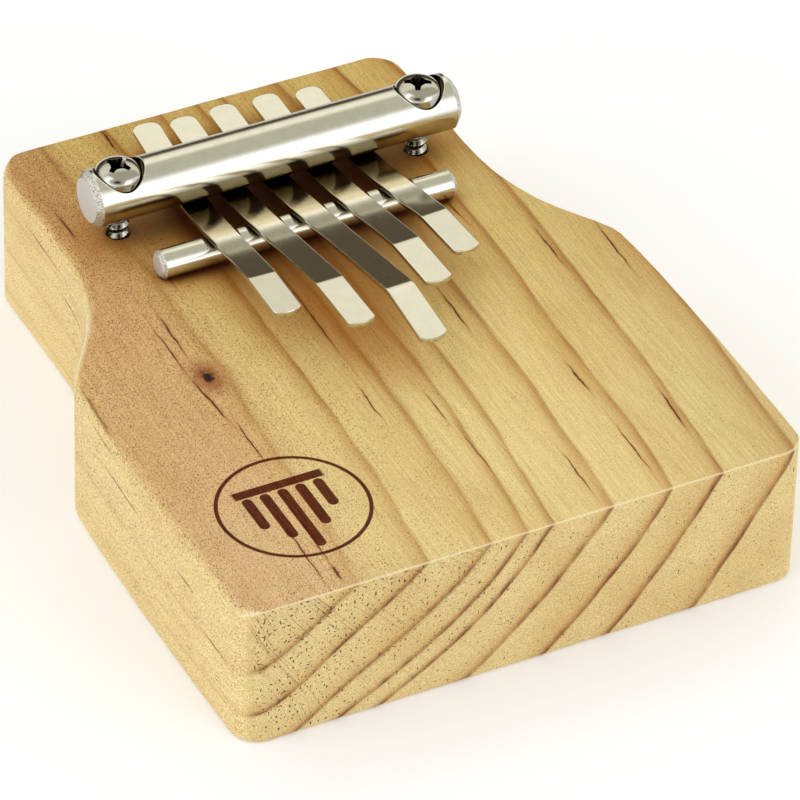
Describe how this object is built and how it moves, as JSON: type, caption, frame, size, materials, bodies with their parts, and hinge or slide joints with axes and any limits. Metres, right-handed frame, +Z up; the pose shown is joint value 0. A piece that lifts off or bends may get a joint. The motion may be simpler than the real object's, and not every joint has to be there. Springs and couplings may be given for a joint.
{
  "type": "mbira",
  "caption": "Small thumb piano: waisted solid pine board with spring-steel tines held down by a round clamp bar on two screws, over two bridge rods.",
  "frame": {"origin": "centre of the soundboard's underside, where the instrument rests", "axes": "+Z up out of the board's playing face, +Y from the playing end to the neck that carries the hardware, +X to the player's right as the tines point at them"},
  "size_m": [0.1102, 0.1366, 0.0446],
  "materials": {
    "pine": "planed and sanded, clear satin oil",
    "bar_plate": "drawn steel rod, bright nickel plate with fine draw lines",
    "rod_plate": "bright nickel plate, milled flats",
    "screw_plate": "bright plated steel",
    "tine_steel": "polished spring steel strip"
  },
  "bodies": {
    "soundboard": {"soundboard": "pine", "front_bridge_rod": "rod_plate", "rear_bridge_rod": "rod_plate"},
    "clamp_bar": {"clamp_bar": "bar_plate"},
    "clamp_screw_left": {"clamp_screw_left": "screw_plate"},
    "clamp_screw_right": {"clamp_screw_right": "screw_plate"},
    "tine_1": {"tine_root_1": "tine_steel"},
    "tongue_1": {"tine_tongue_1": "tine_steel"},
    "tine_2": {"tine_root_2": "tine_steel"},
    "tongue_2": {"tine_tongue_2": "tine_steel"},
    "tine_3": {"tine_root_3": "tine_steel"},
    "tongue_3": {"tine_tongue_3": "tine_steel"},
    "tine_4": {"tine_root_4": "tine_steel"},
    "tongue_4": {"tine_tongue_4": "tine_steel"},
    "tine_5": {"tine_root_5": "tine_steel"},
    "tongue_5": {"tine_tongue_5": "tine_steel"}
  },
  "joints": [
    {"name": "clamp_lift", "type": "slide", "parent": "soundboard", "child": "clamp_bar", "axis": [0, 0, 1], "range_m": [0, 0.002]},
    {"name": "screw_left_turn", "type": "hinge", "parent": "clamp_bar", "child": "clamp_screw_left", "pos_m": [-0.0285, 0.0386, 0.041], "axis": [0, 0, 1], "range_deg": [0, 360.1]},
    {"name": "screw_right_turn", "type": "hinge", "parent": "clamp_bar", "child": "clamp_screw_right", "pos_m": [0.0318, 0.0386, 0.041], "axis": [0, 0, 1], "range_deg": [0, 360.1]},
    {"name": "tine_1_tuning", "type": "slide", "parent": "soundboard", "child": "tine_1", "axis": [-0.0467, -0.9975, 0.0523], "range_m": [-0.0015, 0.0015]},
    {"name": "tongue_1_flex", "type": "hinge", "parent": "tine_1", "child": "tongue_1", "pos_m": [-0.01498, 0.01975, 0.03516], "axis": [0.9989, -0.0468, 0], "range_deg": [-4, 4], "stiffness_Nm_per_rad": 9.5},
    {"name": "tine_2_tuning", "type": "slide", "parent": "soundboard", "child": "tine_2", "axis": [-0.0024, -0.9986, 0.0523], "range_m": [-0.0015, 0.0015]},
    {"name": "tongue_2_flex", "type": "hinge", "parent": "tine_2", "child": "tongue_2", "pos_m": [-0.00626, 0.01975, 0.03516], "axis": [1, -0.0024, 0], "range_deg": [-4, 4], "stiffness_Nm_per_rad": 7},
    {"name": "tine_3_tuning", "type": "slide", "parent": "soundboard", "child": "tine_3", "axis": [0.0183, -0.9985, 0.0523], "range_m": [-0.0015, 0.0015]},
    {"name": "tongue_3_flex", "type": "hinge", "parent": "tine_3", "child": "tongue_3", "pos_m": [0.00265, 0.01975, 0.03516], "axis": [0.9998, 0.0183, 0], "range_deg": [-4, 4], "stiffness_Nm_per_rad": 5.6},
    {"name": "tine_4_tuning", "type": "slide", "parent": "soundboard", "child": "tine_4", "axis": [0.0228, -0.9984, 0.0523], "range_m": [-0.0015, 0.0015]},
    {"name": "tongue_4_flex", "type": "hinge", "parent": "tine_4", "child": "tongue_4", "pos_m": [0.01142, 0.01975, 0.03516], "axis": [0.9997, 0.0229, 0], "range_deg": [-4, 4], "stiffness_Nm_per_rad": 8.5},
    {"name": "tine_5_tuning", "type": "slide", "parent": "soundboard", "child": "tine_5", "axis": [0.0456, -0.9976, 0.0523], "range_m": [-0.0015, 0.0015]},
    {"name": "tongue_5_flex", "type": "hinge", "parent": "tine_5", "child": "tongue_5", "pos_m": [0.02049, 0.01975, 0.03516], "axis": [0.999, 0.0457, 0], "range_deg": [-4, 4], "stiffness_Nm_per_rad": 11.3}
  ],
  "couplings": [
    {"joint": "screw_left_turn", "follows": "clamp_lift", "rad_per_m": 3141.6},
    {"joint": "screw_right_turn", "follows": "clamp_lift", "rad_per_m": 3141.6}
  ]
}
